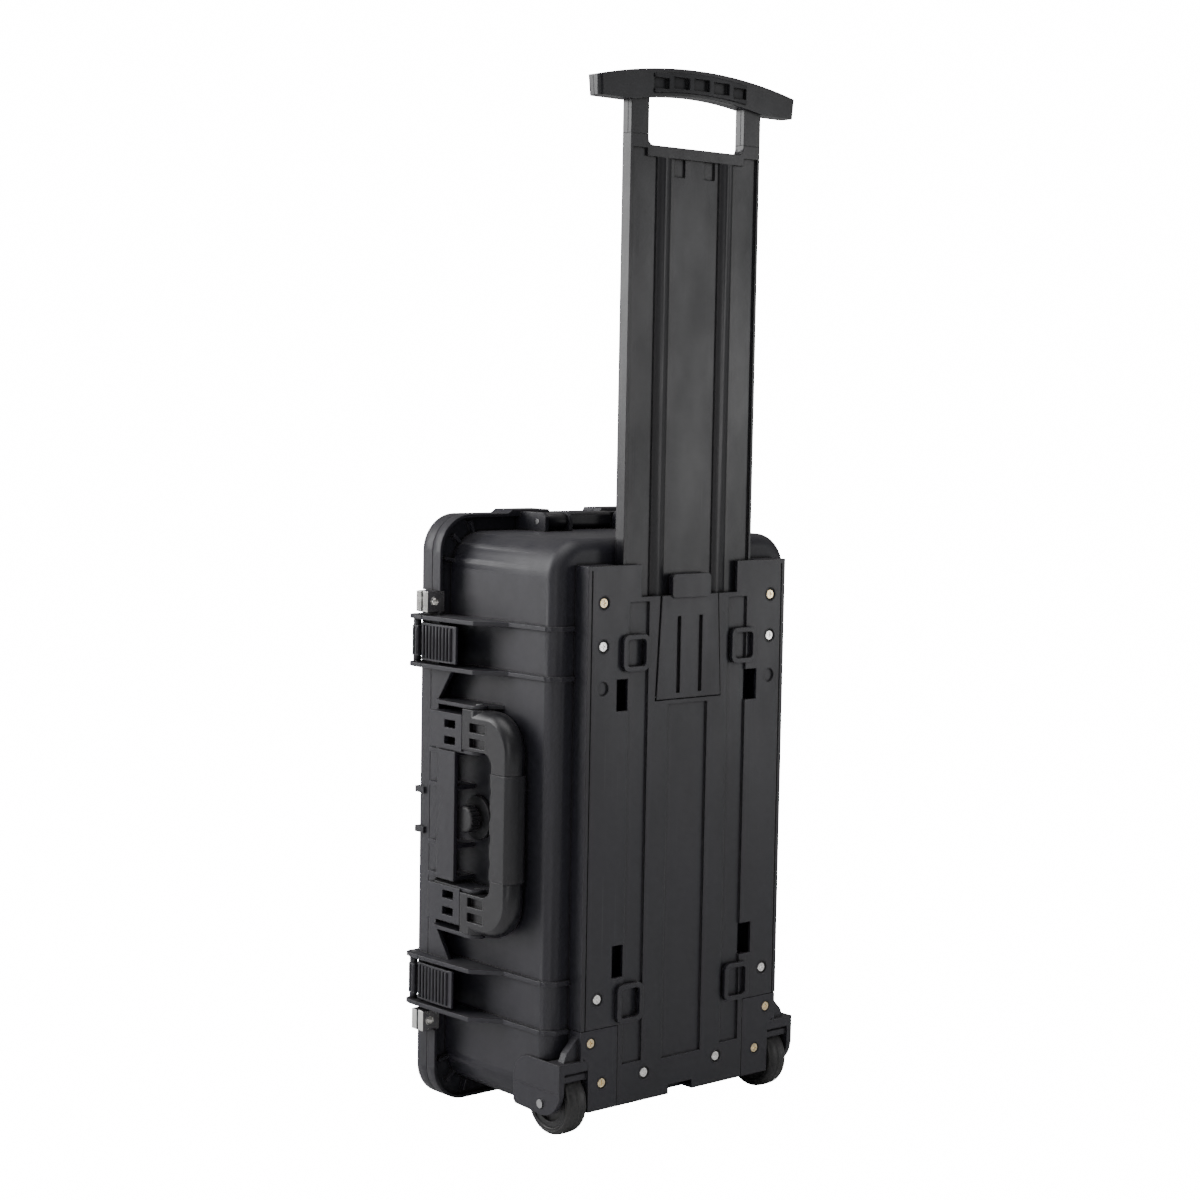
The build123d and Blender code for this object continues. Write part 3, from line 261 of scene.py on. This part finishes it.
# ---- hinge pins ----
# Plain steel rods, cut to length and pressed through the knuckles of both halves. Drawing leaves
# fine lines along them.
drawn, given, result = start_group("drawn lines", {"Lines": 2500.0, "Smudge Size": 0.02},
                                   {"Streak": "Float", "Smudge": "Float"})
long_lane = place_on_part(drawn, (1.0, 1.0, 0.02))
streaks = put(drawn, "TexNoise", Vector=long_lane, Scale=given["Lines"], Detail=3.0)
feed(drawn, result["Streak"], streaks.outputs[0])
smudges = put(drawn, "TexNoise", Vector=place_on_part(drawn), Detail=5.0, Roughness=0.62)
feed(drawn, smudges.inputs["Scale"], calc(drawn, "DIVIDE", 1.0, given["Smudge Size"]))
feed(drawn, result["Smudge"], spread(drawn, smudges.outputs[0], 0.35, 0.7))


def plain_metal(name, colour, stain, smooth, coarse, smudge=0.02):
    """Bare or plated metal: drawn lines, finger smudges and a dulled edge."""
    material, tree, surface = start_finish(name)
    work = use(tree, drawn, Smudge_Size=smudge)
    wear = use(tree, rubbed, Width=0.0004, Break=400.0)
    base = tint(tree, calc(tree, "MULTIPLY", work["Smudge"], 0.6), (*colour, 1), (*stain, 1))
    base = tint(tree, calc(tree, "MULTIPLY", wear["Mask"], 0.4), base, (0.8, 0.8, 0.8, 1))
    feed(tree, surface["Base Color"], base)
    gloss = spread(tree, work["Smudge"], 0, 1, smooth, coarse)
    feed(tree, surface["Roughness"], calc(tree, "MULTIPLY_ADD", work["Streak"], 0.08, gloss))
    surface["Metallic"].default_value = 1.0
    relief = put(tree, "Bump", Distance=0.00001, Height=work["Streak"], Normal=wear["Normal"])
    feed(tree, surface["Normal"], relief.outputs[0])
    return material


zinc_steel = plain_metal("zinc plated steel", colour=(0.46, 0.46, 0.47), stain=(0.3, 0.3, 0.3),
                         smooth=0.25, coarse=0.42)
dress(zinc_steel, "hinge_pins")


# ---- draw latches ----
# Nylon hook and pull lever on steel pins, one pair at each station, glossier than the case, with
# moulded finger ribs that polish first. A web across the hook closes the slit beside the lever.
WEB_SIZE = Vector((4.2, 6.6, 28.4)) * MM
WEB_X, WEB_Y = -167.9 * MM, 72.3 * MM
latch_black = moulded_plastic(
    "latch black", colour=(0.026, 0.0255, 0.0335), deep=(0.019, 0.0185, 0.0245), pale=(0.07, 0.07, 0.075),
    smooth=0.3, coarse=0.42, cell=0.0006, depth=0.00002, edge=0.0008, scuffing=0.5)


def make_piece(name, mesh, material, body):
    """Turn a built mesh into a piece of one finish that rides on a body."""
    piece = bpy.data.objects.new(name, bpy.data.meshes.new(name))
    mesh.to_mesh(piece.data)
    mesh.free()
    piece.data.materials.append(material)
    bpy.context.scene.collection.objects.link(piece)
    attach(piece, body)
    return piece


for station in ("upper", "lower"):
    dress(latch_black, f"latch_hook_{station}", f"latch_lever_{station}")
    dress(zinc_steel, f"latch_hook_pin_{station}", f"latch_lever_pin_{station}")
    break_edges(0.35, f"latch_hook_{station}", f"latch_lever_{station}", sharp=50)
    hook_low, hook_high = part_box(f"latch_hook_{station}")
    web = bmesh.new()
    bmesh.ops.create_cube(web, size=1.0)
    bmesh.ops.scale(web, vec=WEB_SIZE, verts=web.verts)
    bmesh.ops.translate(web, vec=Vector((WEB_X, WEB_Y, (hook_low[2] + hook_high[2]) / 2)), verts=web.verts)
    bmesh.ops.bevel(web, geom=web.edges[:], offset=0.4 * MM, segments=2, affect="EDGES")
    make_piece(f"hook_web_{station}", web, latch_black, f"hook_{station}")


# ---- padlock guards ----
# Bent stainless strips over each padlock lug, held by tubular rivets. Polished, with finger smudges
# and a fine rolled grain.
stainless = plain_metal("polished stainless", colour=(0.78, 0.77, 0.75), stain=(0.5, 0.5, 0.49),
                        smooth=0.12, coarse=0.26, smudge=0.008)
dress(stainless, "base_padlock_plates", "lid_padlock_plates", "base_padlock_eyelets", "lid_padlock_eyelets")
break_edges(0.3, "base_padlock_plates", "lid_padlock_plates")


# ---- pressure valve ----
# A screwed body with an O-ring outside and a nut inside, and a scalloped knob that vents the case.
# All are moulded nylon but the ring, which is the seal's sponge.
valve_black = moulded_plastic(
    "valve black", colour=(0.02, 0.02, 0.0225), deep=(0.015, 0.015, 0.017), pale=(0.06, 0.06, 0.065),
    smooth=0.38, coarse=0.5, cell=0.0007, depth=0.00003, edge=0.0008)
dress(valve_black, "valve_body", "valve_knob", "valve_nut")
break_edges(0.4, "valve_body", "valve_nut")
break_edges(0.3, "valve_knob", sharp=45)
dress(sponge, "valve_oring")


# ---- carry handles ----
# Stiff nylon frames with a soft rubber sleeve moulded over the grip, swinging on steel pins. The
# frames come out of a polished mould, so they are glossier than the case.
handle_black = moulded_plastic(
    "handle black", colour=(0.0092, 0.009, 0.0124), deep=(0.0066, 0.0064, 0.0088), pale=(0.06, 0.06, 0.065),
    smooth=0.26, coarse=0.4, cell=0.0011, depth=0.00002, edge=0.0015, scuffing=0.4)
grip_rubber = moulded_plastic(
    "grip rubber", colour=(0.012, 0.0118, 0.0155), deep=(0.0086, 0.0085, 0.0112), pale=(0.04, 0.04, 0.042),
    smooth=0.4, coarse=0.56, cell=0.0005, depth=0.00003, edge=0.0015, scuffing=0.2, dusting=0.35)
dress(handle_black, "side_handle_frame", "top_handle_frame")
dress(grip_rubber, "side_handle_grip", "top_handle_grip")
dress(zinc_steel, "side_handle_pins", "top_handle_pins")
break_edges(0.8, "side_handle_frame", "top_handle_frame")
break_edges(0.8, "side_handle_grip", "top_handle_grip")


# ---- trolley cover ----
# One large ribbed panel screwed to the tub's back, with four bridging loops and two slick guide
# rails behind it. Its mould is satin, and the flow of the melt leaves long soft streaks.
cover_black = moulded_plastic(
    "trolley black", colour=(0.0155, 0.015, 0.0212), deep=(0.0112, 0.0109, 0.0153), pale=(0.055, 0.055, 0.06),
    smooth=0.3, coarse=0.42, cell=0.0008, depth=0.00003, edge=0.001, scuffing=0.5)
loops = [f"bumper_ring_{level}_{hand}" for level in ("upper", "lower") for hand in ("left", "right")]
dress(cover_black, "trolley_cover", "guide_rail_left", "guide_rail_right", *loops)
break_edges(0.5, "trolley_cover")
break_edges(0.9, *loops)


# ---- release ----
# Push plate hinged on a steel pin, moulded with the cover's finish. A leaf of blued spring steel
# behind it returns it.
blued_steel = plain_metal("spring steel", colour=(0.2, 0.21, 0.24), stain=(0.12, 0.12, 0.14),
                          smooth=0.28, coarse=0.45)
dress(cover_black, "release_lever")
dress(zinc_steel, "release_pin")
dress(blued_steel, "release_spring")
break_edges(0.6, "release_lever")


# ---- sliding handle ----
# A ribbed sheet that slides behind the cover, with two uprights into a two-part grip. A soft panel
# with five pockets is let into the grip's front.
slide_black = moulded_plastic(
    "slide black", colour=(0.0078, 0.0075, 0.0108), deep=(0.0056, 0.0054, 0.0078), pale=(0.055, 0.055, 0.06),
    smooth=0.28, coarse=0.4, cell=0.0008, depth=0.000025, edge=0.001, scuffing=0.6)
dress(slide_black, "trolley_sled", "grip_front_shell", "grip_rear_shell")
dress(grip_rubber, "grip_insert")
break_edges(0.6, "trolley_sled", "grip_front_shell", "grip_rear_shell")
break_edges(0.4, "grip_insert")


# ---- wheels ----
# Nylon hub with a moulded-on polyurethane tyre, turning on a steel axle between two spacers in a
# plastic housing screwed to the tub.
hub_black = moulded_plastic(
    "hub black", colour=(0.02, 0.02, 0.021), deep=(0.015, 0.015, 0.016), pale=(0.08, 0.08, 0.08),
    smooth=0.4, coarse=0.52, cell=0.0008, depth=0.00003, edge=0.0008)
dress(case_black, "wheel_bracket_left", "wheel_bracket_right")
break_edges(0.9, "wheel_bracket_left", "wheel_bracket_right")
tyre_black, tree, surface = start_finish("tyre black")
skin = use(tree, pebble, Cell_Size=0.0012)
grit = put(tree, "TexNoise", Vector=place_on_part(tree), Scale=260.0, Detail=6.0, Roughness=0.7)
road_dust = spread(tree, grit.outputs[0], 0.48, 0.75, 0.0, 0.55)
feed(tree, surface["Base Color"], tint(tree, road_dust, (0.014, 0.014, 0.0145, 1), (0.06, 0.057, 0.052, 1)))
feed(tree, surface["Roughness"], spread(tree, road_dust, 0, 0.55, 0.42, 0.75))
feed(tree, surface["Normal"], put(tree, "Bump", Distance=0.00006, Height=skin["Height"]).outputs[0])


def turn_section(mesh, section, centre, axle, across, steps):
    """Turn a closed section of (distance along the axle, radius) points about an axle through a centre."""
    rounds = []
    for step in range(steps):
        turn = 2 * pi * step / steps
        spoke = across * cos(turn) + Vector((0, 0, 1)) * sin(turn)
        rounds.append([mesh.verts.new(centre + axle * along + spoke * radius) for along, radius in section])
    for here, there in zip(rounds, rounds[1:] + rounds[:1]):
        for index in range(len(section)):
            after = (index + 1) % len(section)
            mesh.faces.new((here[index], here[after], there[after], there[index]))


def turned_tyre(hand, bore):
    """Solid tyre: stepped sides, round shoulders and a faint seam on the crown."""
    low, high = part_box(f"tyre_{hand}")
    half, rim = (high[0] - low[0]) / 2, (high[2] - low[2]) / 2
    seam_foot = rim - 0.15 * MM
    shoulder = rim - 5.0 * MM
    step_in = half - 0.6 * MM
    side = [(half, bore), (half, bore + 2.0 * MM), (step_in, bore + 2.4 * MM), (half, bore + 2.9 * MM)]
    crown = []
    for step in range(1, 12):
        turn = pi * step / 24
        crown.append((half * cos(turn) ** 0.55, shoulder + (seam_foot - shoulder) * sin(turn) ** 0.7))
    right = side + crown + [(0.45 * MM, seam_foot), (0.2 * MM, rim)]
    section = right + [(-x, radius) for x, radius in reversed(right)]
    mesh = bmesh.new()
    turn_section(mesh, section, (Vector(low) + Vector(high)) / 2, Vector((1, 0, 0)), Vector((0, 1, 0)), 96)
    bmesh.ops.recalc_face_normals(mesh, faces=mesh.faces)
    for face in mesh.faces:
        face.smooth = True
    tyre = make_piece(f"turned_tyre_{hand}", mesh, tyre_black, f"wheel_{hand}")
    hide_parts(f"tyre_{hand}")


for hand in ("left", "right"):
    dress(hub_black, f"wheel_hub_{hand}", f"wheel_spacers_{hand}")
    break_edges(0.5, f"wheel_hub_{hand}")
    dress(zinc_steel, f"axle_{hand}")
    hub_low, hub_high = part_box(f"wheel_hub_{hand}")
    turned_tyre(hand, (hub_high[2] - hub_low[2]) / 2)


# ---- fasteners ----
# Pan-head screws with a cross recess into brass inserts: nickel plated on the cover, brass plated
# at its top corners and on the wheel housings. Each head has a flat polished rim and sits in a lipped
# recess, where a near-black ring round the head is painted shadow of the recess.
COVER_FACE = -110.5
HEAD_RADIUS, CROSS_REACH = 4.5, 2.7
COVER_RECESS, HOUSING_RECESS = 6.0, 5.2
CORNER_SCREWS = ((104.5, 486.6),)
COVER_SCREWS = ((104.5, 447.4), (104.5, 125.6), (45.7, 48.2))
HOUSING_SCREWS = ((111.2, 86.2), (97.4, 47.4))
nickel = plain_metal("nickel plate", colour=(0.96, 0.95, 0.93), stain=(0.84, 0.83, 0.81),
                     smooth=0.16, coarse=0.26, smudge=0.004)
brass = plain_metal("brass plate", colour=(0.92, 0.76, 0.48), stain=(0.66, 0.52, 0.3),
                    smooth=0.16, coarse=0.28, smudge=0.004)
dress(nickel, "cover_screws_bright", "grip_screws")
dress(brass, "cover_screws_brass", "bracket_screws", "threaded_inserts")
# Painted shadow: a near-black ring fills each screw recess round the head and stands for its shade.
recess_shadow_black, tree, surface = start_finish("recess shadow black")
bloom = put(tree, "TexNoise", Vector=place_on_part(tree), Scale=900.0, Detail=4.0)
bloomed = tint(tree, bloom.outputs[0], (0.002, 0.002, 0.002, 1), (0.006, 0.006, 0.0065, 1))
feed(tree, surface["Base Color"], bloomed)
feed(tree, surface["Roughness"], spread(tree, bloom.outputs[0], 0.3, 0.7, 0.5, 0.75))


def on_both_sides(places):
    """The same screw places on the left and on the right."""
    return [(side * x, z) for side in (-1, 1) for x, z in places]


def turned_rings(name, material, places, inner, outer, top, foot):
    """One ring at each screw: flat crown, rounded shoulders, straight walls."""
    soft = (outer - inner) * 0.25
    section = [(foot, inner), (top + soft, inner), (top, inner + soft), (top, outer - soft),
               (top + soft, outer), (foot, outer)]
    section = [(along * MM, radius * MM) for along, radius in section]
    mesh = bmesh.new()
    for x, z in places:
        turn_section(mesh, section, Vector((x, 0, z)) * MM, Vector((0, 1, 0)), Vector((1, 0, 0)), 40)
    bmesh.ops.recalc_face_normals(mesh, faces=mesh.faces)
    make_piece(name, mesh, material, "case")


on_cover = on_both_sides(CORNER_SCREWS + COVER_SCREWS)
on_housing = on_both_sides(HOUSING_SCREWS)
rims = (("nickel_head_rims", nickel, on_both_sides(COVER_SCREWS)),
        ("brass_head_rims", brass, on_both_sides(CORNER_SCREWS) + on_housing))
for name, plating, places in rims:
    turned_rings(name, plating, places, CROSS_REACH, HEAD_RADIUS, COVER_FACE + 0.36, COVER_FACE + 1)
recesses = (("cover", cover_black, on_cover, COVER_RECESS),
            ("housing", case_black, on_housing, HOUSING_RECESS))
# Painted shadow: near-black rings in the screw recesses, round each head.
for panel, finish, places, recess in recesses:
    turned_rings(f"{panel}_recess_shadow_rings", recess_shadow_black, places, HEAD_RADIUS + 0.05, recess - 0.05,
                 COVER_FACE + 0.5, COVER_FACE + 2)
for panel, finish, places, recess in recesses:
    turned_rings(f"{panel}_lips", finish, places, recess + 0.05, recess + 0.9,
                 COVER_FACE - 0.4, COVER_FACE + 0.3)


# ---- floor and light ----
# A white sweep under four soft boxes: a tall one on the latch side, a low one square to the trolley
# face, a broad one overhead and a narrow one off the back corner for the edges.
SWEEP = 6.0
sweep_mesh = bpy.data.meshes.new("sweep")
corners = [(-SWEEP, -SWEEP, 0), (SWEEP, -SWEEP, 0), (SWEEP, SWEEP, 0), (-SWEEP, SWEEP, 0)]
sweep_mesh.from_pydata(corners, [], [(0, 1, 2, 3)])
sweep = bpy.data.objects.new("sweep", sweep_mesh)
bpy.context.scene.collection.objects.link(sweep)
paper, tree, surface = start_finish("white paper")
fibre = put(tree, "TexNoise", Vector=place_on_part(tree), Scale=300.0, Detail=4.0)
fibrous = tint(tree, fibre.outputs[0], (0.74, 0.74, 0.74, 1), (0.78, 0.78, 0.78, 1))
feed(tree, surface["Base Color"], fibrous)
surface["Roughness"].default_value = 0.9
glow = put(tree, "Emission", Color=(1, 1, 1, 1), Strength=20.0)
seen = put(tree, "LightPath").outputs["Is Camera Ray"]
lit = put(tree, "MixShader", Fac=calc(tree, "MULTIPLY", seen, 0.8))
tree.links.new(tree.nodes["Principled BSDF"].outputs[0], lit.inputs[1])
tree.links.new(glow.outputs[0], lit.inputs[2])
tree.links.new(lit.outputs[0], tree.nodes["Material Output"].inputs["Surface"])
sweep_mesh.materials.append(paper)

studio = bpy.data.worlds.new("studio")
bpy.context.scene.world = studio
studio.use_nodes = True
backdrop = studio.node_tree.nodes["Background"].inputs
seen = put(studio.node_tree, "LightPath").outputs["Is Camera Ray"]
feed(studio.node_tree, backdrop["Strength"], spread(studio.node_tree, seen, 0, 1, 0.24, 16.0))
backdrop["Color"].default_value = (1, 1, 1, 1)

AIM = Vector((0, 0, 0.4))
for name, place, width, height, power in (
    ("side box", (-2.0, 1.9, 1.6), 1.5, 2.4, 84),
    ("front box", (2.5, -2.6, 0.45), 0.8, 1.8, 18),
    ("top box", (-0.3, -0.2, 3.0), 2.4, 2.4, 52),
    ("edge box", (-2.7, -1.9, 1.0), 0.4, 2.4, 13),
):
    lamp = bpy.data.lights.new(name, "AREA")
    lamp.shape = "RECTANGLE"
    lamp.size = width
    lamp.size_y = height
    lamp.energy = power
    holder = bpy.data.objects.new(name, lamp)
    holder.location = place
    holder.rotation_euler = (AIM - Vector(place)).to_track_quat("-Z", "Y").to_euler()
    bpy.context.scene.collection.objects.link(holder)
